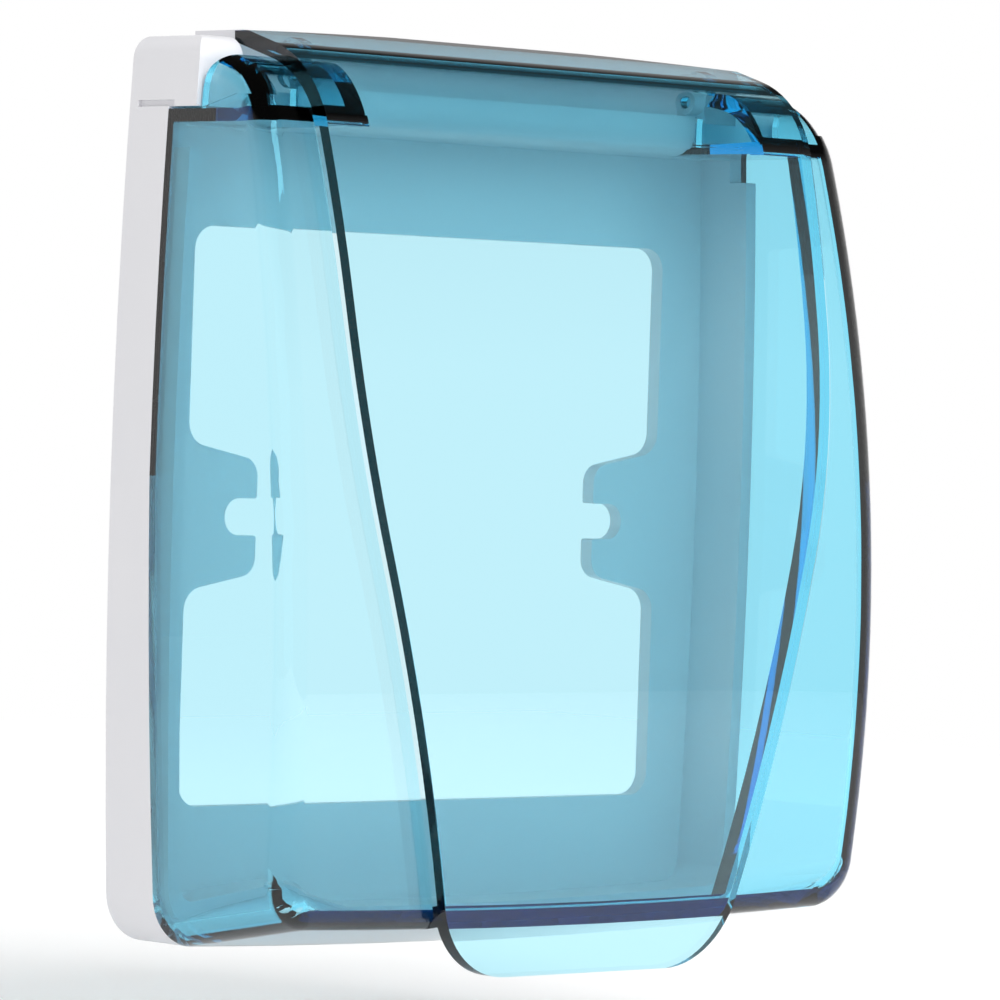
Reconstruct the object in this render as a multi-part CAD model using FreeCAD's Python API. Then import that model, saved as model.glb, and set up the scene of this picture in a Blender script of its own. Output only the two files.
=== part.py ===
import FreeCAD, Part
import os
from math import asin, cos, hypot, radians, sin, sqrt, tan

os.makedirs("parts", exist_ok=True)
Vec = FreeCAD.Vector

# A splash cover for a wall switch: a white base frame that the switch's own screws hold to the wall box,
# and a clear hood hinged along its top. X is to the right, Y goes into the wall, Z is up.
# Depth is measured out of the wall, so depth = -Y, and the wall is at depth 0.
# The origin is on the wall, midway between the two screws.

# Wall box screws
screw_spacing = 60.3
notch_width = 4.6
notch_past_screw = 0.95

# Walls and gaps
web = 2.0
rim_wall = 1.8
lid_wall = 2.0
floor_wall = 2.6
step_wall = 0.9
lid_gap = 0.3
hinge_gap = 0.05

# Outline shared by the frame and the hood, seen from the front
half_width_middle = 51.3
side_bow = 1.7
base_top = 58.6
base_bottom = -52.1
bottom_bow = 1.0
top_corner = 3.0
bottom_corner = 6.5

# Base frame: depths of its rim and of the line where it meets the hood
parting_top = 7.3
parting_bottom = 9.0
parting_bend_z = 5.0
rim_past_parting = 1.3
rim_below_hinge = 10.3
groove_depth = 0.5
groove_width = 0.8
groove_back = 1.5

# Window and ears
frame_border = 11.7
window_half_height = 35.8
window_corner = 3.0
ear_past_screw = 1.95
ear_tip_half = 7.0
ear_root_half = 9.2
ear_corner = 2.5
ear_blend = 3.0
ear_edge = 0.4

# Hinge
hinge_depth = 13.0
hinge_below_top = 3.5
stub_radius = 0.9
arm_radius = 1.75
arm_wall = 2.0
arm_inset = 8.5
lid_ear_radius = 2.2
trough_radius = 6.3
trough_gap = 0.4

# Header over the hinge, with depths and heights taken from the hinge's line
header_behind = 0.6
header_below = 5.3
header_round = 3.0
nose_front_behind = 0.1
nose_back_behind = 1.9
nose_top_below = 1.9
nose_bottom_below = 7.4
side_nose_drop = 0.8
nose_under_round = 3.8
ridge_inset = 2.4
ridge_height = 1.1

# Hood
front_reach = 35.9
front_radius = 252.0
front_middle_z = -18.0
roll_below_hinge = 7.1
roll_radius = 14.3
roll_end_angle = 73.0
plate_back_behind = 2.8
plate_crown = 0.9
plate_over = 0.14323
panel_step = 2.3
recess_step = 0.15
floor_slope = 0.18
hood_edge = 3.2
ledge_below = 7.2
ledge_wall = 1.6
ledge_rise = 1.7
ledge_rise_run = 6.5

# Hollow end housings beside the hinge
housing_set_in = 0.6
housing_behind = 0.2
housing_above = 1.9
housing_round = 5.5

# Raised panel and finger tab, seen from the front
panel_setback = 7.2
panel_taper = 2.0
panel_knee_z = 11.0
panel_knee_round = 140.0
panel_bottom_half = 22.8
tab_drop = 3.0
tab_corner = 11.7

# Places worked out from the sizes
half_width_ends = half_width_middle - side_bow
window_half_width = half_width_middle - frame_border
ear_tip = screw_spacing / 2 - ear_past_screw
hinge_z = base_top - hinge_below_top
rim_front = parting_bottom + rim_past_parting
rim_top = hinge_z - rim_below_hinge
header_front = hinge_depth - header_behind
header_bottom = hinge_z - header_below
nose_front = hinge_depth - nose_front_behind
nose_back = hinge_depth - nose_back_behind
nose_top = hinge_z - nose_top_below
nose_bottom = hinge_z - nose_bottom_below
panel_top_half = half_width_ends - panel_setback
panel_knee_half = panel_top_half - panel_taper
ridge_half_width = panel_top_half - ridge_inset
arm_outer_x = panel_top_half - arm_inset
housing_inner_x = arm_outer_x + lid_gap
housing_back = hinge_depth - housing_behind
housing_top = hinge_z + housing_above
roll_start_z = hinge_z - roll_below_hinge
plate_back = hinge_depth - plate_back_behind
ledge_under = hinge_z - ledge_below
ledge_back_top = ledge_under + ledge_wall
ledge_front_top = ledge_back_top + ledge_rise
ledge_rise_end = hinge_depth + ledge_rise_run
tab_bottom = base_bottom - tab_drop

# How far the cutting blocks reach past the part, and the slack used in picking edges
past = 20.0
slack = 2.0
side_reach = half_width_middle + past
high_reach = base_top + past
low_reach = base_bottom - past
deep_reach = front_reach + past
half_reach = front_reach * 0.6
inner_back = plate_back / 2


def at(x, depth, z):
    return Vec(x, -depth, z)


def arc3(place, a, b, c):
    return Part.Arc(place(*a), place(*b), place(*c)).toShape()


def side_view(depth, z):
    return at(0, depth, z)


def front_view(x, z):
    return at(x, 0, z)


def corner_points(before, corner, after, radius):
    """Where a rounded corner starts and ends, and the middle of its arc."""
    px, py = corner[0], corner[1]
    ax, ay = before[0] - px, before[1] - py
    bx, by = after[0] - px, after[1] - py
    la, lb = hypot(ax, ay), hypot(bx, by)
    ax, ay, bx, by = ax / la, ay / la, bx / lb, by / lb
    half_cos = sqrt((1 + ax * bx + ay * by) / 2)
    half_sin = sqrt(1 - half_cos ** 2)
    reach = radius * half_cos / half_sin
    out = radius / half_sin - radius
    mx, my = ax + bx, ay + by
    lm = hypot(mx, my)
    start = (px + ax * reach, py + ay * reach)
    end = (px + bx * reach, py + by * reach)
    return start, (px + mx / lm * out, py + my / lm * out), end


def rounded_wire(corners, place):
    """A closed outline of straight sides, each corner given as (across, up, radius)."""
    n = len(corners)
    cuts = []
    for i, corner in enumerate(corners):
        if corner[2] > 0:
            cuts.append(corner_points(corners[i - 1], corner, corners[(i + 1) % n], corner[2]))
        else:
            cuts.append((corner[:2], None, corner[:2]))
    edges = []
    for i, (start, middle, end) in enumerate(cuts):
        if middle:
            edges.append(arc3(place, start, middle, end))
        after = cuts[(i + 1) % n][0]
        if hypot(after[0] - end[0], after[1] - end[1]) > 1e-6:
            edges.append(Part.makeLine(place(*end), place(*after)))
    return Part.Wire(edges)


def plate(corners, near, far):
    """An outline seen from the front, as a solid between two depths."""
    face = Part.Face(rounded_wire(corners, front_view))
    face.translate(at(0, near, 0))
    return face.extrude(at(0, far - near, 0))


def bar(corners, x_from, x_to):
    """A side profile given as (depth, z, radius), as a solid between two x."""
    face = Part.Face(rounded_wire(corners, side_view))
    face.translate(Vec(x_from, 0, 0))
    return face.extrude(Vec(x_to - x_from, 0, 0))


def mirrored(shape):
    return shape.mirror(Vec(0, 0, 0), Vec(1, 0, 0))


def both_sides(shape):
    return shape.fuse(mirrored(shape))


def box(x_from, x_to, near, far, z_from, z_to):
    return Part.makeBox(x_to - x_from, far - near, z_to - z_from, at(x_from, far, z_from))


def pin(radius, x_from, x_to):
    return Part.makeCylinder(radius, x_to - x_from, at(x_from, hinge_depth, hinge_z), Vec(1, 0, 0))


def half_width(z, inset):
    """Half the width of the outline at a height; the sides bow out a little."""
    middle_z = (base_top + base_bottom) / 2
    half_height = (base_top - base_bottom) / 2
    bow = half_width_middle - half_width_ends
    radius = (half_height ** 2 + bow ** 2) / (2 * bow)
    return half_width_middle - inset - radius + sqrt(radius ** 2 - (z - middle_z) ** 2)


def outline_face(inset, top, bottom):
    """The shared outline, set in by inset, with bowed sides and a bowed bottom and no rounded corners."""
    mid = (top + bottom) / 2
    sides = []
    for s in (1, -1):
        pts = [(s * half_width(z, inset), z) for z in (top, mid, bottom)]
        sides.append(arc3(front_view, *pts))
    low = half_width(bottom, inset)
    high = half_width(top, inset)
    under = arc3(front_view, (low, bottom), (0, bottom - bottom_bow), (-low, bottom))
    over = Part.makeLine(front_view(high, top), front_view(-high, top))
    return Part.Face(Part.Wire([sides[0], under, sides[1], over]))


def outline_block(inset, top, bottom, near, far):
    face = outline_face(inset, top, bottom)
    face.translate(at(0, near, 0))
    return face.extrude(at(0, far - near, 0))


def rounded_uprights(block, low_radius, high_radius):
    """Round the corner edges that run in depth, at the bottom and at the top."""
    box_ = block.BoundBox
    middle = box_.Center.z
    full = 0.8 * box_.YLength
    runs = [e for e in block.Edges if e.BoundBox.YLength > full and e.BoundBox.XLength < slack]
    low = [e for e in runs if e.BoundBox.Center.z < middle]
    block = block.makeFillet(low_radius, low)
    if high_radius > 0:
        runs = [e for e in block.Edges if e.BoundBox.YLength > full]
        high = [e for e in runs if e.BoundBox.Center.z > box_.ZMax - slack]
        block = block.makeFillet(high_radius, high)
    return block


def parting_depth(z):
    if z > parting_bend_z:
        return parting_top
    share = (parting_bend_z - z) / (parting_bend_z - base_bottom)
    return parting_top + (parting_bottom - parting_top) * share


def front_curve(offset):
    """Centres, radii and ends of the panel's side curve, moved inwards by offset."""
    start = asin((roll_start_z - front_middle_z) / front_radius)
    end = radians(roll_end_angle)
    bow_centre = (front_reach - front_radius, front_middle_z)
    reach = front_radius - roll_radius
    roll_centre = (bow_centre[0] + reach * cos(start), bow_centre[1] + reach * sin(start))
    bow = front_radius - offset
    roll = roll_radius - offset
    half = (start + end) / 2
    points = [(roll_centre[0] + roll * cos(a), roll_centre[1] + roll * sin(a)) for a in (start, half, end)]
    return bow_centre, bow, points


def bow_depth(z, offset):
    return front_reach - front_radius + sqrt((front_radius - offset) ** 2 - (z - front_middle_z) ** 2)


def behind_front(offset, low, back, half):
    """All that lies behind the side curve moved inwards by offset, from a height up over the roll."""
    points = front_curve(offset)[2]
    start, end = points[0], points[2]
    low_point = (bow_depth(low, offset), low)
    middle_z = (low + start[1]) / 2
    bow = arc3(side_view, low_point, (bow_depth(middle_z, offset), middle_z), start)
    roll = arc3(side_view, *points)
    top = (back, end[1] + (end[0] - back) / tan(radians(roll_end_angle)))
    straight = Part.makeLine(side_view(*end), side_view(*top))
    rear = Part.makeLine(side_view(*top), side_view(back, low))
    under = Part.makeLine(side_view(back, low), side_view(*low_point))
    face = Part.Face(Part.Wire([bow, roll, straight, rear, under]))
    face.translate(Vec(-half, 0, 0))
    return face.extrude(Vec(2 * half, 0, 0))


def bow_lift(x):
    """How much the bowed bottom edge rises from its middle out to x."""
    low = half_width(base_bottom, 0)
    radius = (low ** 2 + bottom_bow ** 2) / (2 * bottom_bow)
    return radius - sqrt(radius ** 2 - x ** 2)


def above_floor(inset):
    """All that lies above the hood's sloping floor, which bows down in the middle."""
    middle = base_bottom - bottom_bow + inset - parting_bottom * floor_slope
    low = middle + bow_lift(side_reach)
    edges = [arc3(front_view, (-side_reach, low), (0, middle), (side_reach, low))]
    rest = [(side_reach, low), (side_reach, high_reach), (-side_reach, high_reach), (-side_reach, low)]
    edges += [Part.makeLine(front_view(*a), front_view(*b)) for a, b in zip(rest, rest[1:])]
    face = Part.Face(Part.Wire(edges))
    return face.extrude(at(0, deep_reach, deep_reach * floor_slope))


def hood_form(inset, offset, floor_inset, corner, edge):
    """The hood as a filled form with rounded corners, set in by inset at the sides and offset in front."""
    block = outline_block(inset, base_top, low_reach, 1, deep_reach)
    block = block.common(above_floor(floor_inset))
    block = block.common(behind_front(offset, low_reach, 1, side_reach))
    uprights = []
    for e in block.Edges:
        b = e.BoundBox
        low = b.Center.z < base_bottom * 0.8 and abs(b.Center.x) > half_width_ends * 0.8
        if low and b.YLength > front_reach * 0.4 and b.XLength < 2 * slack:
            uprights.append(e)
    block = block.makeFillet(corner, uprights)
    if edge == 0:
        return block
    wide = [f for f in block.Faces if f.BoundBox.XLength > base_top]
    front = max([f for f in wide if f.BoundBox.ZLength > base_top], key=lambda f: -f.BoundBox.YMin)
    edges = [e for e in front.Edges if e.BoundBox.ZMin < roll_start_z - slack]
    for roll in wide:
        if roll.BoundBox.ZMin > roll_start_z - 2 * slack and roll.BoundBox.ZLength > slack:
            edges += [e for e in roll.Edges if e.BoundBox.XLength < slack]
    return block.makeFillet(edge, edges)


def plate_top():
    """The crown of the shield's top edge, just over the plate's rear edge."""
    roll_end = front_curve(0)[2][2]
    return roll_end[1] + (roll_end[0] - plate_back) / tan(radians(roll_end_angle)) + plate_over


def panel_outline(inset, low):
    """The raised shield, wide at the top and drawn in to the tab, with a slightly crowned top."""
    top_z = plate_top() - plate_crown
    right = [(panel_top_half - inset, top_z, 0)]
    right += [(panel_knee_half - inset, panel_knee_z, panel_knee_round)]
    right += [(panel_bottom_half - inset, low, max(tab_corner - inset, 0))]
    return right + [(-x, z, r) for x, z, r in reversed(right)]


def panel_block(inset):
    """The shield as a block in depth; its crowned top is cut by a large round."""
    block = plate(panel_outline(inset, tab_bottom + inset), inner_back, deep_reach)
    half = panel_top_half + 1
    shoulder = plate_top() - plate_crown - 0.04
    low = shoulder - past
    points = [(-half, shoulder), (0, plate_top() - inset), (half, shoulder)]
    edges = [arc3(front_view, *points), Part.makeLine(front_view(half, shoulder), front_view(half, low))]
    edges += [Part.makeLine(front_view(half, low), front_view(-half, low))]
    edges += [Part.makeLine(front_view(-half, low), front_view(-half, shoulder))]
    cap = Part.Face(Part.Wire(edges))
    cap.translate(at(0, inner_back, 0))
    cap = cap.extrude(at(0, deep_reach - inner_back, 0))
    tall = plate(tall_outline(inset), inner_back, deep_reach)
    return block.fuse(cap.common(tall)).removeSplitter()


def tall_outline(inset):
    """The shield's upper sides carried on past the top."""
    top_z = plate_top() - plate_crown
    lean = (panel_top_half - panel_knee_half) / (top_z - panel_knee_z)
    low = (panel_top_half - inset - lean * (past - slack), top_z - past + slack, 0)
    high = (panel_top_half - inset + lean * slack, top_z + slack, 0)
    return [high, low, (-low[0], low[1], 0), (-high[0], high[1], 0)]


def ledge_cutter():
    """All above the shoulders: level behind, then an easy rise to the front."""
    low = (hinge_depth, ledge_back_top)
    high = (ledge_rise_end, ledge_front_top)
    middle = ((low[0] + high[0]) / 2, (low[1] + high[1]) / 2)
    slope = Part.makeLine(side_view(*low), side_view(*high))
    back = Part.makeLine(side_view(-past, low[1]), side_view(*low))
    far = deep_reach
    front = Part.makeLine(side_view(*high), side_view(far, high[1]))
    rest = [side_view(far, high[1]), side_view(far, high_reach)]
    rest += [side_view(-past, high_reach), side_view(-past, low[1])]
    edges = [back, slope, front] + [Part.makeLine(a, b) for a, b in zip(rest, rest[1:])]
    face = Part.Face(Part.Wire(edges))
    face.translate(Vec(-side_reach, 0, 0))
    return face.extrude(Vec(2 * side_reach, 0, 0))


def behind_parting():
    """All that lies behind the line where hood and frame meet."""
    bend = (parting_top, parting_bend_z, 0)
    low = (parting_depth(low_reach), low_reach, 0)
    corners = [(parting_top, high_reach, 0), bend, low, (-past, low_reach, 0), (-past, high_reach, 0)]
    return bar(corners, -side_reach, side_reach)


def housing_region(inset):
    """Where the end housings stand: in front of the header, with a rounded rear top."""
    back = housing_back if inset == 0 else inner_back
    radius = housing_round if inset == 0 else 0
    low = ledge_back_top - 1.0 + inset / 2
    corners = [(back, low, 0), (back, housing_top - inset, radius), (deep_reach, housing_top - inset, 0)]
    corners += [(deep_reach, low, 0)]
    return bar(corners, housing_inner_x + inset, side_reach)


def make_housings():
    """The hollow end housings as a pair of blocks and a pair of pockets."""
    form = hood_form(housing_set_in, panel_step, 0, bottom_corner, hood_edge)
    block = form.common(housing_region(0))
    wall = lid_wall
    hollow = hood_form(housing_set_in + wall, panel_step + wall, wall, bottom_corner, 0)
    pocket = hollow.common(housing_region(wall))
    return both_list(block), both_list(pocket)


def both_list(shape):
    return [shape, mirrored(shape)]


def make_lid():
    hood = hood_form(0, panel_step, 0, bottom_corner, hood_edge)
    hood = hood.cut(ledge_cutter()).cut(behind_parting())
    shield = panel_block(0)
    front = behind_front(0, low_reach, plate_back, side_reach).common(shield)
    behind = behind_front(lid_wall, low_reach - 1, inner_back, side_reach)
    skin = front.cut(behind)
    body_top = ledge_back_top - 0.5
    body = box(-side_reach, side_reach, half_reach, deep_reach, low_reach, body_top)
    body = front.common(above_floor(0)).common(body)
    inner_corner = bottom_corner - lid_wall
    room = hood_form(lid_wall, panel_step + lid_wall, floor_wall, inner_corner, 0)
    room = room.cut(box(-side_reach, side_reach, -past, deep_reach + past, ledge_under, high_reach))
    recess = behind.common(panel_block(step_wall)).common(above_floor(floor_wall + recess_step))
    recess_top = ledge_under - recess_step
    recess = recess.common(box(-side_reach, side_reach, half_reach / 2, deep_reach, low_reach, recess_top))
    opening = box(-housing_inner_x, housing_inner_x, -past, deep_reach, ledge_under - 2, high_reach)
    opening = behind.common(opening)
    blocks, pockets = make_housings()
    lid = hood.fuse(body)
    for hollow in (room, recess, opening):
        lid = lid.cut(hollow)
    for more in blocks + [skin]:
        lid = lid.fuse(more)
    for hollow in pockets:
        lid = lid.cut(hollow)
    ear = pin(lid_ear_radius, housing_inner_x, housing_inner_x + lid_wall)
    stub = pin(stub_radius, arm_outer_x - arm_wall + 0.1, housing_inner_x + 0.5)
    return lid.fuse(both_list(ear) + both_list(stub))


def trough():
    """The hollow the hood's rear edge swings through, with the nose left standing under the hinge."""
    half = panel_top_half + trough_gap
    sweep = pin(trough_radius, -half, half)
    nose = box(-arm_outer_x, arm_outer_x, nose_back, deep_reach, 0, nose_top)
    nose = nose.fuse(box(-side_reach, side_reach, nose_back, deep_reach, 0, nose_top - side_nose_drop))
    over = box(-half, half, nose_back, deep_reach, nose_top, high_reach)
    return sweep.cut(nose).fuse(over)


def make_window():
    """The opening with both ears and their notches, as one block to cut away."""
    w = window_half_width
    h = window_half_height
    notch = notch_width / 2
    end = screw_spacing / 2 + notch_past_screw + notch
    lower = [(w, -h, window_corner), (w, -ear_root_half, ear_blend), (ear_tip, -ear_tip_half, ear_corner)]
    lower += [(ear_tip, -notch, ear_edge), (end, -notch, notch * 0.99)]
    right = lower + [(x, -z, r) for x, z, r in reversed(lower)]
    left = [(-x, z, r) for x, z, r in reversed(right)]
    return plate(right + left, -past, web + past)


def side_grooves():
    """A thin shadow line on each side where the header starts."""
    low = header_bottom + groove_width
    x = half_width(low, groove_depth)
    groove = box(x, side_reach, groove_back, parting_top + 1, header_bottom, low)
    return both_sides(groove)


def make_base():
    tray = rounded_uprights(outline_block(0, base_top, base_bottom, 0, header_front), bottom_corner, top_corner)
    upper = [(-1, header_bottom, 0), (header_front, header_bottom, 0)]
    upper += [(header_front, base_top, header_round), (-1, base_top, 0)]
    upper = bar(upper, -side_reach, side_reach)
    tray = tray.common(behind_parting().fuse(upper)).cut(side_grooves())
    set_in = lid_wall + lid_gap
    rim_low = base_bottom + floor_wall + lid_gap + floor_slope * (rim_front - parting_bottom)
    rim = outline_block(set_in, base_top, rim_low, 0, rim_front)
    rim = rounded_uprights(rim, bottom_corner - set_in, 0)
    rim = rim.common(box(-side_reach, side_reach, -1, deep_reach, low_reach, rim_top))
    inset = set_in + rim_wall
    room = outline_block(inset, base_top, rim_low + rim_wall, web, deep_reach)
    room = rounded_uprights(room, bottom_corner - inset + 0.5, 0)
    room = room.common(box(-side_reach, side_reach, -1, deep_reach + 1, low_reach, nose_bottom))
    nose = [(0, nose_bottom, 0), (nose_front, nose_bottom, nose_under_round)]
    nose = bar(nose + [(nose_front, hinge_z, 0), (0, hinge_z, 0)], -arm_outer_x, arm_outer_x)
    high = base_top + ridge_height
    ridge = [(0, nose_top, 0), (0, high, 0), (nose_back, high, 0), (nose_back, nose_top, 0)]
    base = tray.fuse(rim).cut(room).fuse([nose, bar(ridge, -ridge_half_width, ridge_half_width)])
    base = base.cut(trough()).cut(make_window())
    return base.fuse(make_arms())


def make_arms():
    arm = pin(arm_radius, arm_outer_x - arm_wall, arm_outer_x)
    post = box(arm_outer_x - arm_wall, arm_outer_x, nose_back + 0.3, nose_front, nose_top - 1.5, hinge_z)
    arm = arm.fuse(post)
    arm = arm.cut(pin(stub_radius + hinge_gap, arm_outer_x - arm_wall - 1, arm_outer_x + 1))
    return [arm, mirrored(arm)]


def main():
    base = make_base().removeSplitter()
    lid = make_lid().removeSplitter()
    base.exportStep("parts/base_frame.step")
    lid.exportStep("parts/splash_lid.step")


main()
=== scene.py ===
import math

import bmesh
import bpy
import numpy as np
from mathutils import Matrix, Vector


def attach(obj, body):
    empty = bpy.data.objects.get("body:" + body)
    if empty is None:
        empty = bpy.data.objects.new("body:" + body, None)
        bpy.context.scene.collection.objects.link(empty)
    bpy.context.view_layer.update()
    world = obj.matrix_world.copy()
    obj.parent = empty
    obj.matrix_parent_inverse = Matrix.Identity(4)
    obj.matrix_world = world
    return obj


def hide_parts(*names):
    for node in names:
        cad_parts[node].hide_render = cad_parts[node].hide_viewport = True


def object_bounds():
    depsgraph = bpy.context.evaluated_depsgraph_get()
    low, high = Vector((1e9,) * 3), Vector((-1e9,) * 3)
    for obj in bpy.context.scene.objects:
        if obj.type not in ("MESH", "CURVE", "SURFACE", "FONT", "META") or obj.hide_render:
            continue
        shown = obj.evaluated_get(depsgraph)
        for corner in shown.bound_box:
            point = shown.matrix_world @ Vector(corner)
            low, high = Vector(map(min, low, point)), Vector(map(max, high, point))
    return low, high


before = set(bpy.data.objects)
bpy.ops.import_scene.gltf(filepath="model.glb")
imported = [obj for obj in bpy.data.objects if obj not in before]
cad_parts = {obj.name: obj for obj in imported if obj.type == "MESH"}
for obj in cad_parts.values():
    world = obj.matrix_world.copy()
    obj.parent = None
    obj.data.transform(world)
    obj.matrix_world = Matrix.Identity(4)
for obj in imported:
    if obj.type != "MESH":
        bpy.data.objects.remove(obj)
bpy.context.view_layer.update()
scene = bpy.context.scene
print("stage: frame loaded")

perMetre = 1000.0  # millimetres
tiny = 1e-12  # keeps a division from meeting zero


# The hood's own curves, in mm, so that its polish follows the true moulded surfaces.
# Depth is measured out of the wall.
hoodForm = {
    "frontReach": 35.9,
    "frontRadius": 252.0,
    "frontMiddleZ": -18.0,
    "rollStartZ": 48.0,
    "rollRadius": 14.3,
    "rollEndDegrees": 73.0,
    "frontOffsets": (0.0, 2.0, 2.3, 4.3),
    "halfWidthMiddle": 51.3,
    "sideBow": 1.7,
    "top": 58.6,
    "bottom": -52.1,
    "bottomBow": 1.0,
    "sideInsets": (0.0, 0.6, 2.0, 2.3, 2.6, 4.1),
    "floorSlope": 0.18,
    "floorStartDepth": 9.0,
    "levels": (49.5, 51.2, 57.0),
    "step": 2.3,
    "wall": 2.0,
    "floorWall": 2.6,
    "edge": 3.2,
    "corner": 6.5,
    "housingSetIn": 0.6,
}

# How near a face lies to a known surface to follow it, and the angles that join other faces
polish = {
    "nearMm": 0.02,
    "nearEdgeMm": 0.06,
    "onSurfaceDegrees": 14.0,
    "borrowDegrees": 28.0,
    "smoothDegrees": 35.0,
    "ruledOutMm": 9.0,  # added to a distance where the surface doesn't reach
    "bowPastRollMm": 1.0,
    "rollSlackRadians": 0.05,
    "floorMatch": 0.9995,  # cosine
    "floorBandMm": 8.0,
    "edgeSlackMm": 0.1,
    "cornerSlackMm": 0.3,
    "leanStepMm": 0.1,
    "weldMetres": 1e-6,
}

# Rounds in which a point's place along each rounded edge is found
rounds = {"side": 4, "floor": 6, "corner": 3, "tip": 6}


# Radius of a bow from half its span and its rise
def bowRadius(half, rise):
    return (half ** 2 + rise ** 2) / (2 * rise)


def sideRadius():
    return bowRadius((hoodForm["top"] - hoodForm["bottom"]) / 2, hoodForm["sideBow"])


def underRadius():
    return bowRadius(hoodForm["halfWidthMiddle"] - hoodForm["sideBow"], hoodForm["bottomBow"])


# The angle where the front's bow hands over to the roll, and the roll's centre
def rollCentre():
    form = hoodForm
    start = math.asin((form["rollStartZ"] - form["frontMiddleZ"]) / form["frontRadius"])
    reach = form["frontRadius"] - form["rollRadius"]
    depth = form["frontReach"] - form["frontRadius"] + reach * math.cos(start)
    return start, depth, form["frontMiddleZ"] + reach * math.sin(start)


def halfWidth(z):
    form = hoodForm
    radius = sideRadius()
    across = z - (form["top"] + form["bottom"]) / 2
    return form["halfWidthMiddle"] - radius + np.sqrt(radius ** 2 - across ** 2)


def frontDepth(z, offset):
    form = hoodForm
    start, depth, height = rollCentre()
    small = form["rollRadius"] - offset
    bow = np.sqrt((form["frontRadius"] - offset) ** 2 - (z - form["frontMiddleZ"]) ** 2)
    bow += form["frontReach"] - form["frontRadius"]
    roll = depth + np.sqrt(np.maximum(small ** 2 - (z - height) ** 2, 0.0))
    return np.where(z < height + small * math.sin(start), bow, roll)


def floorHeight(x, depth):
    form = hoodForm
    height = form["bottom"] - form["bottomBow"] + x ** 2 / (2 * underRadius())
    return height + form["floorSlope"] * (depth - form["floorStartDepth"])


def floorRise():
    return math.sqrt(1 + hoodForm["floorSlope"] ** 2)


# Distance to a round wall and its outward direction; axes are the two across its line
def awayFromLine(points, centre, radius, axes):
    a, b = axes
    flat = np.stack([points[:, a] - centre[0], points[:, b] - centre[1]], 1)
    length = np.maximum(np.linalg.norm(flat, axis=1), tiny)
    normal = np.zeros_like(points)
    normal[:, a] = flat[:, 0] / length
    normal[:, b] = flat[:, 1] / length
    return np.abs(length - radius), normal


# Distance and direction from a rounded edge's middle line, for the points outside it
def roundAbout(points, centre, radius, outside):
    away = points - centre
    length = np.maximum(np.linalg.norm(away, axis=1), tiny)
    far = np.abs(length - radius) + polish["ruledOutMm"] * ~outside
    return far, away / length[:, None]


# The rounded edge between the front and a side wall
def sideEdge(points, inset):
    form = hoodForm
    radius = form["edge"]
    offset = form["step"] + radius
    side = np.sign(points[:, 0])
    z = points[:, 2].copy()
    small = polish["leanStepMm"]
    for _ in range(rounds["side"]):
        x = halfWidth(z) - inset - radius
        depth = frontDepth(z, offset)
        leanX = (halfWidth(z + small) - halfWidth(z - small)) / (2 * small)
        leanD = (frontDepth(z + small, offset) - frontDepth(z - small, offset)) / (2 * small)
        gap = (np.abs(points[:, 0]) - x) * leanX + (points[:, 1] - depth) * leanD
        gap += points[:, 2] - z
        z += gap / (1 + leanX ** 2 + leanD ** 2)
    centre = np.stack([side * x, depth, z], 1)
    slack = polish["edgeSlackMm"]
    outside = (np.abs(points[:, 0]) > x - slack) & (points[:, 1] > depth - slack)
    return roundAbout(points, centre, radius, outside)


# The rounded edge between the front and the floor
def floorEdge(points):
    form = hoodForm
    radius = form["edge"]
    depth = points[:, 1].copy()
    for _ in range(rounds["floor"]):
        z = floorHeight(points[:, 0], depth) + radius * floorRise()
        depth = frontDepth(z, form["step"] + radius)
    centre = np.stack([points[:, 0], depth, z], 1)
    slack = polish["edgeSlackMm"]
    outside = (points[:, 1] > depth - slack) & (points[:, 2] < z + slack)
    return roundAbout(points, centre, radius, outside)


# The middle line of a lower corner's rounding, at a depth
def cornerAxis(depth, inset, floorInset, corner):
    z = np.full(len(depth), hoodForm["bottom"])
    for _ in range(rounds["corner"]):
        x = halfWidth(z) - inset - corner
        z = floorHeight(x, depth) + floorInset + corner * floorRise()
    return x, z


# The rounding that runs in depth between a side wall and the floor
def lowerCorner(points, inset, floorInset, corner):
    slope = hoodForm["floorSlope"]
    side = np.sign(points[:, 0])
    depth = points[:, 1].copy()
    for _ in range(rounds["corner"]):
        x, z = cornerAxis(depth, inset, floorInset, corner)
        depth += ((points[:, 1] - depth) + (points[:, 2] - z) * slope) / (1 + slope ** 2)
    centre = np.stack([side * x, depth, z], 1)
    outside = np.abs(points[:, 0]) > x - polish["edgeSlackMm"]
    outside &= points[:, 2] < z + polish["cornerSlackMm"]
    return roundAbout(points, centre, corner, outside)


# The patch where the front edge runs round a lower corner
def cornerTip(points):
    form = hoodForm
    slope = form["floorSlope"]
    rise = floorRise()
    side = np.sign(points[:, 0])
    inner = form["corner"] - form["edge"]
    offset = form["step"] + form["edge"]
    depth = frontDepth(points[:, 2], offset)
    for _ in range(rounds["tip"]):
        x, z = cornerAxis(depth, 0.0, 0.0, form["corner"])
        acrossX = np.abs(points[:, 0]) - x
        acrossZ = (points[:, 2] - z - slope * (points[:, 1] - depth)) / rise
        length = np.maximum(np.hypot(acrossX, acrossZ), tiny)
        x = x + inner * acrossX / length
        z = z + inner * acrossZ / length / rise
        middle = depth - inner * acrossZ / length * slope / rise
        depth = depth + frontDepth(z, offset) - middle
    centre = np.stack([side * x, middle, z], 1)
    slack = polish["edgeSlackMm"]
    outside = (acrossX > -slack) & (acrossZ < polish["cornerSlackMm"])
    outside &= points[:, 1] > middle - slack
    return roundAbout(points, centre, form["edge"], outside)


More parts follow.
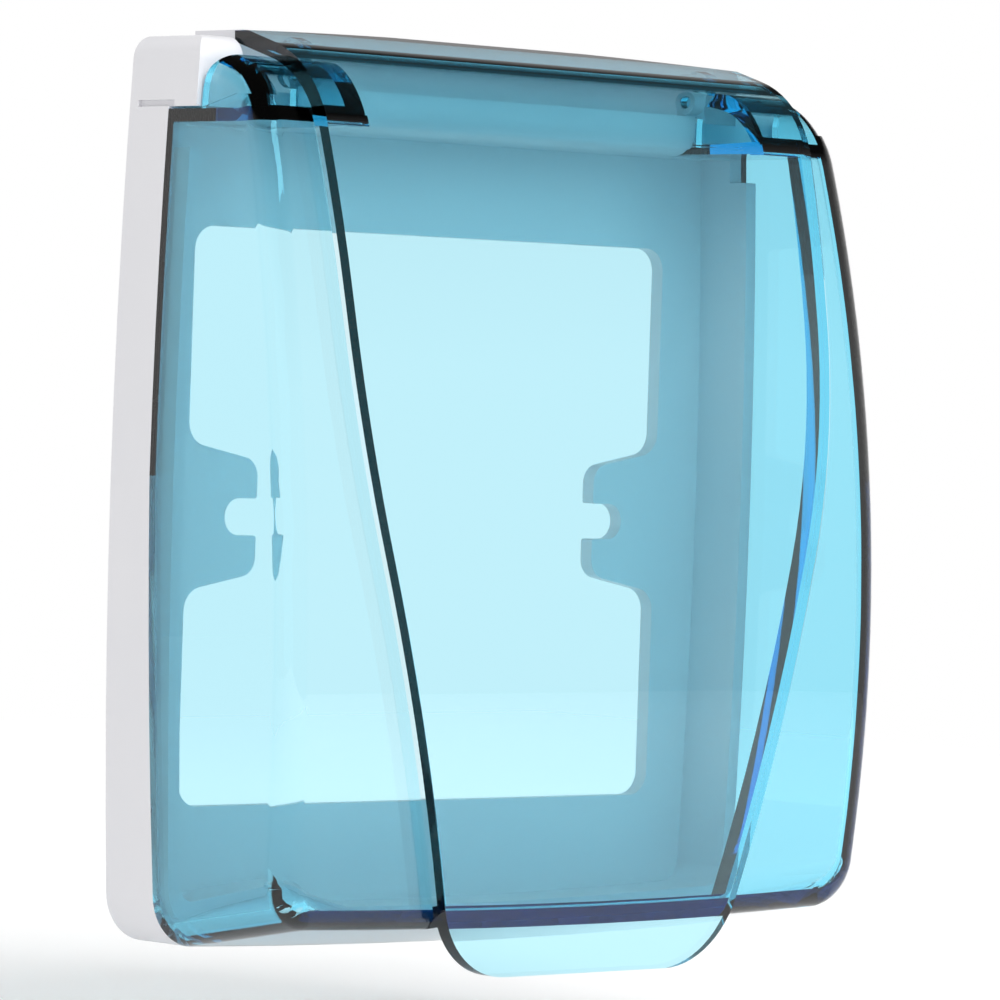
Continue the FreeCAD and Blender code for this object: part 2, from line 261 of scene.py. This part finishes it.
# The hood's rounded edges, each as a distance and a direction at every point
def hoodEdges(points):
    form = hoodForm
    inner = form["corner"] - form["wall"]
    return [
        sideEdge(points, 0.0),
        sideEdge(points, form["housingSetIn"]),
        floorEdge(points),
        lowerCorner(points, 0.0, 0.0, form["corner"]),
        lowerCorner(points, form["wall"], form["floorWall"], inner),
        cornerTip(points),
    ]


# The front, roll, side walls and levels, each as a distance and a direction at every point
def hoodSurfaces(points):
    form = hoodForm
    start, *roll = rollCentre()
    end = math.radians(form["rollEndDegrees"])
    bow = (form["frontReach"] - form["frontRadius"], form["frontMiddleZ"])
    angle = np.arctan2(points[:, 2] - roll[1], points[:, 1] - roll[0])
    pastBow = points[:, 2] > form["rollStartZ"] + polish["bowPastRollMm"]
    slack = polish["rollSlackRadians"]
    offRoll = (angle < start - slack) | (angle > end + slack)
    straight = (points[:, 1] - roll[0]) * math.cos(end) + (points[:, 2] - roll[1]) * math.sin(end)
    straightUp = np.tile([0.0, math.cos(end), math.sin(end)], (len(points), 1))
    found = []
    for offset in form["frontOffsets"]:
        far, normal = awayFromLine(points, bow, form["frontRadius"] - offset, (1, 2))
        found.append((far + polish["ruledOutMm"] * pastBow, normal))
        far, normal = awayFromLine(points, roll, form["rollRadius"] - offset, (1, 2))
        found.append((far + polish["ruledOutMm"] * offRoll, normal))
        found.append((np.abs(straight - form["rollRadius"] + offset), straightUp))
    middle = (form["top"] + form["bottom"]) / 2
    for side in (1, -1):
        for inset in form["sideInsets"]:
            centre = (side * (form["halfWidthMiddle"] - inset - sideRadius()), middle)
            found.append(awayFromLine(points, centre, sideRadius(), (0, 2)))
    up = np.tile([0.0, 0.0, 1.0], (len(points), 1))
    for level in form["levels"]:
        found.append((np.abs(points[:, 2] - level), up))
    return found


def floorDirections(points):
    count = len(points)
    slope = np.full(count, -hoodForm["floorSlope"])
    lean = np.stack([-points[:, 0] / underRadius(), slope, np.ones(count)], 1)
    return lean / np.linalg.norm(lean, axis=1)[:, None]


# Exact corner directions for the faces that lie on a known surface, and which faces those are
def onKnownSurfaces(points, tris, faceNormal):
    corners = np.zeros((len(tris), 3, 3))
    done = np.zeros(len(tris), bool)

    def take(near, normal, match):
        own = normal[tris]
        facing = (faceNormal * own.mean(1)).sum(1)
        pick = near & ~done & (np.abs(facing) > match)
        corners[pick] = own[pick] * np.sign(facing[pick])[:, None, None]
        done[pick] = True

    match = math.cos(math.radians(polish["onSurfaceDegrees"]))
    for far, normal in hoodSurfaces(points):
        take((far[tris] < polish["nearMm"]).all(1), normal, match)
    height = points[tris][:, :, 2].mean(1)
    low = np.abs(height - hoodForm["bottom"]) < polish["floorBandMm"]
    take(low, floorDirections(points), polish["floorMatch"])
    for far, normal in hoodEdges(points):
        take((far[tris] < polish["nearEdgeMm"]).all(1), normal, match)
    return corners, done


# Elsewhere a corner borrows from a known neighbour, or averages the faces near it in angle
def fillTheRest(corners, done, tris, faceNormal, size, count):
    users = [[] for _ in range(count)]
    for index, tri in enumerate(tris):
        for corner, vertex in enumerate(tri):
            users[vertex].append((index, corner))
    borrow = math.cos(math.radians(polish["borrowDegrees"]))
    smooth = math.cos(math.radians(polish["smoothDegrees"]))
    for index in np.nonzero(~done)[0]:
        own = faceNormal[index]
        for corner in range(3):
            around = users[tris[index][corner]]
            best, chosen = borrow, None
            for other, otherCorner in around:
                if done[other]:
                    match = float(corners[other][otherCorner] @ own)
                    if match > best:
                        best, chosen = match, corners[other][otherCorner]
            if chosen is None:
                total = np.zeros(3)
                for other, _ in around:
                    if not done[other] and float(faceNormal[other] @ own) > smooth:
                        total += faceNormal[other] * size[other]
                chosen = total / max(np.linalg.norm(total), tiny)
            corners[index][corner] = chosen


# Corner directions of a moulding, worked out in mm with depth out of the wall
def trueNormals(mesh):
    count = len(mesh.vertices)
    points = np.empty(count * 3)
    mesh.vertices.foreach_get("co", points)
    points = points.reshape(-1, 3) * perMetre
    points[:, 1] *= -1.0
    tris = np.array([tuple(p.vertices) for p in mesh.polygons])
    a, b, c = (points[tris[:, i]] for i in range(3))
    cross = -np.cross(b - a, c - a)
    size = np.linalg.norm(cross, axis=1)
    faceNormal = cross / np.maximum(size, tiny)[:, None]
    corners, done = onKnownSurfaces(points, tris, faceNormal)
    fillTheRest(corners, done, tris, faceNormal, size, count)
    corners[:, :, 1] *= -1.0
    print("stage: %d of %d faces lie on known surfaces" % (done.sum(), len(done)))
    return corners.reshape(-1, 3)


def makeMaterial(name):
    mat = bpy.data.materials.new(name)
    mat.use_nodes = True
    tree = mat.node_tree
    tree.nodes.clear()
    out = tree.nodes.new("ShaderNodeOutputMaterial")
    return mat, tree, out


# A shader node with its inputs set by name
def nodeAt(tree, kind, **values):
    node = tree.nodes.new(kind)
    for key, value in values.items():
        node.inputs[key.replace("_", " ")].default_value = value
    return node


def mathNode(tree, kind, operation):
    node = tree.nodes.new(kind)
    node.operation = operation
    return node


# Fine specks and slow waves of a moulded surface: the group's own start values
mouldForm = {
    "grainScale": 1400.0,
    "grainDetail": 3.0,
    "grainRoughness": 0.6,
    "waveScale": 60.0,
    "waveDetail": 1.0,
    "waveRoughness": 0.4,
    "waveShare": 0.5,
}


# Node group: surface height and a slow tone change, from object coordinates
def mouldGrain():
    form = mouldForm
    group = bpy.data.node_groups.new("mouldGrain", "ShaderNodeTree")
    face = group.interface
    for name, key in (("Grain Scale", "grainScale"), ("Wave Scale", "waveScale"),
                      ("Wave Share", "waveShare")):
        socket = face.new_socket(name=name, in_out="INPUT", socket_type="NodeSocketFloat")
        socket.default_value = form[key]
    for name in ("Height", "Tone"):
        face.new_socket(name=name, in_out="OUTPUT", socket_type="NodeSocketFloat")
    inward = group.nodes.new("NodeGroupInput")
    outward = group.nodes.new("NodeGroupOutput")
    coords = group.nodes.new("ShaderNodeTexCoord")
    grain = nodeAt(group, "ShaderNodeTexNoise", Detail=form["grainDetail"],
                   Roughness=form["grainRoughness"])
    wave = nodeAt(group, "ShaderNodeTexNoise", Detail=form["waveDetail"],
                  Roughness=form["waveRoughness"])
    mix = group.nodes.new("ShaderNodeMix")
    mix.data_type = "FLOAT"
    for node, scaleName in ((grain, "Grain Scale"), (wave, "Wave Scale")):
        group.links.new(coords.outputs["Object"], node.inputs["Vector"])
        group.links.new(inward.outputs[scaleName], node.inputs["Scale"])
    group.links.new(inward.outputs["Wave Share"], mix.inputs["Factor"])
    group.links.new(grain.outputs["Fac"], mix.inputs["A"])
    group.links.new(wave.outputs["Fac"], mix.inputs["B"])
    group.links.new(mix.outputs["Result"], outward.inputs["Height"])
    group.links.new(wave.outputs["Fac"], outward.inputs["Tone"])
    return group


# Base frame: white moulded plastic
whiteLook = {
    "colour": (0.815, 0.81, 0.835, 1.0),
    "shade": (0.785, 0.785, 0.815, 1.0),
    "roughness": 0.36,
    "roughnessSpread": 0.05,
    "coat": 0.10,
    "coatRoughness": 0.25,
    "ior": 1.5,
    "grainScale": 2200.0,
    "waveScale": 90.0,
    "waveShare": 0.35,
    "grainLow": 0.3,
    "grainHigh": 0.7,
    "bump": 0.12,
    "bumpDepth": 0.00006,
}


def whitePlastic():
    look = whiteLook
    mat, tree, out = makeMaterial("whitePlastic")
    shader = nodeAt(tree, "ShaderNodeBsdfPrincipled", Coat_Weight=look["coat"], IOR=look["ior"],
                    Coat_Roughness=look["coatRoughness"])
    grain = tree.nodes.new("ShaderNodeGroup")
    grain.node_tree = mouldGrain()
    grain.inputs["Grain Scale"].default_value = look["grainScale"]
    grain.inputs["Wave Scale"].default_value = look["waveScale"]
    grain.inputs["Wave Share"].default_value = look["waveShare"]
    tint = tree.nodes.new("ShaderNodeMix")
    tint.data_type = "RGBA"
    tint.inputs["A"].default_value = look["shade"]
    tint.inputs["B"].default_value = look["colour"]
    rough = nodeAt(tree, "ShaderNodeMapRange",
                   From_Min=look["grainLow"], From_Max=look["grainHigh"],
                   To_Min=look["roughness"] - look["roughnessSpread"],
                   To_Max=look["roughness"] + look["roughnessSpread"])
    bump = nodeAt(tree, "ShaderNodeBump", Strength=look["bump"], Distance=look["bumpDepth"])
    tree.links.new(grain.outputs["Tone"], tint.inputs["Factor"])
    tree.links.new(grain.outputs["Height"], rough.inputs["Value"])
    tree.links.new(grain.outputs["Height"], bump.inputs["Height"])
    tree.links.new(tint.outputs["Result"], shader.inputs["Base Color"])
    tree.links.new(rough.outputs["Result"], shader.inputs["Roughness"])
    tree.links.new(bump.outputs["Normal"], shader.inputs["Normal"])
    tree.links.new(shader.outputs["BSDF"], out.inputs["Surface"])
    return mat


# Splash lid: clear blue moulded plastic; throughWall is what one wall leaves of white light
blueLook = {
    "colour": (1.0, 1.0, 1.0, 1.0),
    "ior": 1.56,
    "roughness": 0.0,
    "wallMm": 2.0,
    "throughWall": (0.56, 0.89, 0.975),
}


def bluePlastic():
    look = blueLook
    mat, tree, out = makeMaterial("clearBluePlastic")
    shader = nodeAt(tree, "ShaderNodeBsdfPrincipled", Base_Color=look["colour"],
                    Roughness=look["roughness"], IOR=look["ior"], Transmission_Weight=1.0)
    losses = [-math.log(t) / (look["wallMm"] / perMetre) for t in look["throughWall"]]
    density = max(losses)
    passed = [1.0 - x / density for x in losses]
    volume = nodeAt(tree, "ShaderNodeVolumeAbsorption", Color=(*passed, 1.0), Density=density)
    tree.links.new(shader.outputs["BSDF"], out.inputs["Surface"])
    tree.links.new(volume.outputs["Volume"], out.inputs["Volume"])
    return mat


# Rounding of the hood's inner front edge, and which edges get it
innerEdge = {
    "radiusMm": 1.9,
    "segments": 6,
    "profile": 0.5,
    "besideMm": 44.0,
    "floorFromXMm": 41.0,
    "floorZMm": -40.0,
    "topZMm": 47.95,
    "sharpDegrees": 40.0,
    "flatDegrees": 0.25,
}


# Rounds the edge inside the hood where its front meets the side walls and the lower corners
def roundInside(work):
    look = innerEdge
    form = hoodForm

    def onFront(vert):
        depth = frontDepth(np.array([vert.co.z * perMetre]), form["step"] + form["wall"])[0]
        return abs(depth + vert.co.y * perMetre) < polish["nearEdgeMm"]

    def onSide(vert):
        across = halfWidth(np.array([vert.co.z * perMetre]))[0] - form["wall"]
        return abs(across - abs(vert.co.x) * perMetre) < polish["nearEdgeMm"]

    def turn(edge):
        return math.degrees(edge.calc_face_angle(0.0))

    flat = []
    for edge in work.edges:
        if turn(edge) < look["flatDegrees"]:
            if all(onFront(v) for v in edge.verts) or all(onSide(v) for v in edge.verts):
                flat.append(edge)
    bmesh.ops.dissolve_limit(work, angle_limit=math.radians(look["flatDegrees"]), verts=[],
                             edges=flat)
    picked = []
    for edge in work.edges:
        across = min(abs(v.co.x) for v in edge.verts) * perMetre
        top = max(v.co.z for v in edge.verts) * perMetre
        beside = across > look["besideMm"] and top < look["topZMm"]
        below = across > look["floorFromXMm"] and top < look["floorZMm"]
        if (beside or below) and turn(edge) > look["sharpDegrees"]:
            if all(onFront(v) for v in edge.verts):
                picked.append(edge)
    bmesh.ops.bevel(work, geom=picked, offset=look["radiusMm"] / perMetre, offset_type="OFFSET",
                    affect="EDGES", segments=look["segments"], profile=look["profile"],
                    clamp_overlap=False)
    openEdges = sum(1 for edge in work.edges if not edge.is_manifold)
    print("stage: %d inner edges rounded, %d open edges" % (len(picked), openEdges))


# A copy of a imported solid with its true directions, standing for it
def standIn(node, name, body, mat, finish=None):
    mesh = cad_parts[node].data.copy()
    work = bmesh.new()
    work.from_mesh(mesh)
    bmesh.ops.remove_doubles(work, verts=work.verts, dist=polish["weldMetres"])
    if finish:
        finish(work)
    bmesh.ops.triangulate(work, faces=work.faces)
    work.to_mesh(mesh)
    work.free()
    mesh.materials.clear()
    mesh.materials.append(mat)
    obj = bpy.data.objects.new(name, mesh)
    scene.collection.objects.link(obj)
    mesh.shade_smooth()
    mesh.normals_split_custom_set([tuple(n) for n in trueNormals(mesh)])
    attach(obj, body)
    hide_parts(node)


standIn("base_frame", "baseFrameLook", "frame", whitePlastic())
standIn("splash_lid", "splashLidLook", "lid", bluePlastic(), roundInside)
print("stage: pieces dressed")


# Pale floor: its own glow is added where it is only seen, so it shows white and keeps the shadow.
# The glow grows away from the object, where the lamps reach less. All lengths are in metres.
floorLook = {
    "colour": (0.88, 0.88, 0.88, 1.0),
    "roughness": 0.9,
    "specular": 0.0,
    "drop": 0.012,
    "size": 1.2,
    "glowNear": 0.16,
    "glowFar": 0.34,
    "glowFrom": 0.05,
    "glowTo": 0.5,
}


# One for camera, mirror and see-through rays, zero for the rays that light things
def seenFactor(tree):
    rays = tree.nodes.new("ShaderNodeLightPath")
    first = mathNode(tree, "ShaderNodeMath", "MAXIMUM")
    second = mathNode(tree, "ShaderNodeMath", "MAXIMUM")
    tree.links.new(rays.outputs["Is Camera Ray"], first.inputs[0])
    tree.links.new(rays.outputs["Is Glossy Ray"], first.inputs[1])
    tree.links.new(first.outputs[0], second.inputs[0])
    tree.links.new(rays.outputs["Is Transmission Ray"], second.inputs[1])
    return second.outputs[0]


def paleFloor():
    look = floorLook
    mat, tree, out = makeMaterial("paleFloor")
    shader = nodeAt(tree, "ShaderNodeBsdfPrincipled", Base_Color=look["colour"],
                    Roughness=look["roughness"], Specular_IOR_Level=look["specular"])
    white = tree.nodes.new("ShaderNodeEmission")
    coords = tree.nodes.new("ShaderNodeTexCoord")
    away = mathNode(tree, "ShaderNodeVectorMath", "LENGTH")
    outer = nodeAt(tree, "ShaderNodeMapRange", From_Min=look["glowFrom"], From_Max=look["glowTo"],
                   To_Min=look["glowNear"], To_Max=look["glowFar"])
    glow = mathNode(tree, "ShaderNodeMath", "MULTIPLY")
    both = tree.nodes.new("ShaderNodeAddShader")
    tree.links.new(coords.outputs["Object"], away.inputs[0])
    tree.links.new(away.outputs["Value"], outer.inputs["Value"])
    tree.links.new(seenFactor(tree), glow.inputs[0])
    tree.links.new(outer.outputs["Result"], glow.inputs[1])
    tree.links.new(glow.outputs[0], white.inputs["Strength"])
    tree.links.new(shader.outputs["BSDF"], both.inputs[0])
    tree.links.new(white.outputs["Emission"], both.inputs[1])
    tree.links.new(both.outputs["Shader"], out.inputs["Surface"])
    return mat


def addFloor():
    place = (0, 0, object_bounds()[0].z - floorLook["drop"])
    bpy.ops.mesh.primitive_plane_add(size=floorLook["size"], location=place)
    floor = bpy.context.object
    floor.name = "floor"
    floor.data.materials.append(paleFloor())


# World: white where it is seen, in mirrors and through the clear plastic, softer as light.
# Overhead, where the camera never looks, it darkens as a studio does, which draws the hood's top.
worldLook = {
    "colour": (1.0, 1.0, 1.0, 1.0),
    "seen": 1.0,
    "light": 0.64,
    "overhead": 0.04,
    "darkFrom": 0.22,
    "darkTo": 0.52,
}


def addWorld():
    look = worldLook
    world = bpy.data.worlds.new("softWorld")
    scene.world = world
    world.use_nodes = True
    tree = world.node_tree
    tree.nodes.clear()
    out = tree.nodes.new("ShaderNodeOutputWorld")
    mix = tree.nodes.new("ShaderNodeMixShader")
    soft = nodeAt(tree, "ShaderNodeBackground", Strength=look["light"], Color=look["colour"])
    bright = nodeAt(tree, "ShaderNodeBackground", Color=look["colour"])
    coords = tree.nodes.new("ShaderNodeTexCoord")
    parts = tree.nodes.new("ShaderNodeSeparateXYZ")
    height = nodeAt(tree, "ShaderNodeMapRange", From_Min=look["darkFrom"], From_Max=look["darkTo"],
                    To_Min=look["seen"], To_Max=look["overhead"])
    tree.links.new(coords.outputs["Generated"], parts.inputs["Vector"])
    tree.links.new(parts.outputs["Z"], height.inputs["Value"])
    tree.links.new(height.outputs["Result"], bright.inputs["Strength"])
    tree.links.new(seenFactor(tree), mix.inputs["Fac"])
    tree.links.new(soft.outputs["Background"], mix.inputs[1])
    tree.links.new(bright.outputs["Background"], mix.inputs[2])
    tree.links.new(mix.outputs["Shader"], out.inputs["Surface"])


# Camera at the photo's viewing angle, worked out from the base frame's straight edges.
# Angles are in degrees; the focal length and the centre are in pixels of the photo.
cameraLook = {
    "azimuth": 43.5,
    "elevation": 0.963,
    "roll": 1.874,
    "distanceMm": 796.027,
    "focalPx": 6215.311,
    "photoPx": 1000.0,
    "centreUPx": 401.293,
    "centreVPx": 517.880,
    "wallShiftMm": 3.2,
    "sensorMm": 36.0,
    "clipNear": 0.01,
    "clipFar": 20.0,
}


def addCamera():
    look = cameraLook
    az, el, roll = (math.radians(look[key]) for key in ("azimuth", "elevation", "roll"))
    back = Vector((-math.sin(az) * math.cos(el), -math.cos(az) * math.cos(el), math.sin(el)))
    right = Vector((math.cos(az), -math.sin(az), 0.0))
    up = back.cross(right)
    across = right * math.cos(roll) + up * math.sin(roll)
    upward = up * math.cos(roll) - right * math.sin(roll)
    middle = look["photoPx"] / 2
    offX = (look["centreUPx"] - middle) / look["focalPx"] * look["distanceMm"]
    offY = (middle - look["centreVPx"]) / look["focalPx"] * look["distanceMm"]
    place = back * look["distanceMm"] - across * offX - upward * offY
    place += Vector((0.0, look["wallShiftMm"], 0.0))
    data = bpy.data.cameras.new("photoCamera")
    data.sensor_width = look["sensorMm"]
    data.lens = look["focalPx"] * look["sensorMm"] / look["photoPx"]
    data.clip_start = look["clipNear"]
    data.clip_end = look["clipFar"]
    cam = bpy.data.objects.new("photoCamera", data)
    scene.collection.objects.link(cam)
    turn = Matrix((across, upward, back)).transposed().to_4x4()
    cam.matrix_world = Matrix.Translation(place / perMetre) @ turn
    scene.camera = cam


# Soft lights, each aimed at the origin: place and side length in metres
lightLook = {
    "keyLight": {"place": (-0.04, -0.66, 0.62), "watts": 6.3, "side": 0.5},
    "fillLight": {"place": (-0.75, -0.45, 0.25), "watts": 0.7, "side": 0.7},
}


def addLight(name, look):
    data = bpy.data.lights.new(name, "AREA")
    data.energy = look["watts"]
    data.size = look["side"]
    lamp = bpy.data.objects.new(name, data)
    scene.collection.objects.link(lamp)
    lamp.location = Vector(look["place"])
    lamp.rotation_mode = "QUATERNION"
    lamp.rotation_quaternion = Vector(look["place"]).to_track_quat("Z", "Y")
    lamp.visible_camera = False
    lamp.visible_glossy = False


addFloor()
addWorld()
addCamera()
for lampName, lampLook in lightLook.items():
    addLight(lampName, lampLook)
scene.view_settings.view_transform = "Standard"
print("stage: scene set")
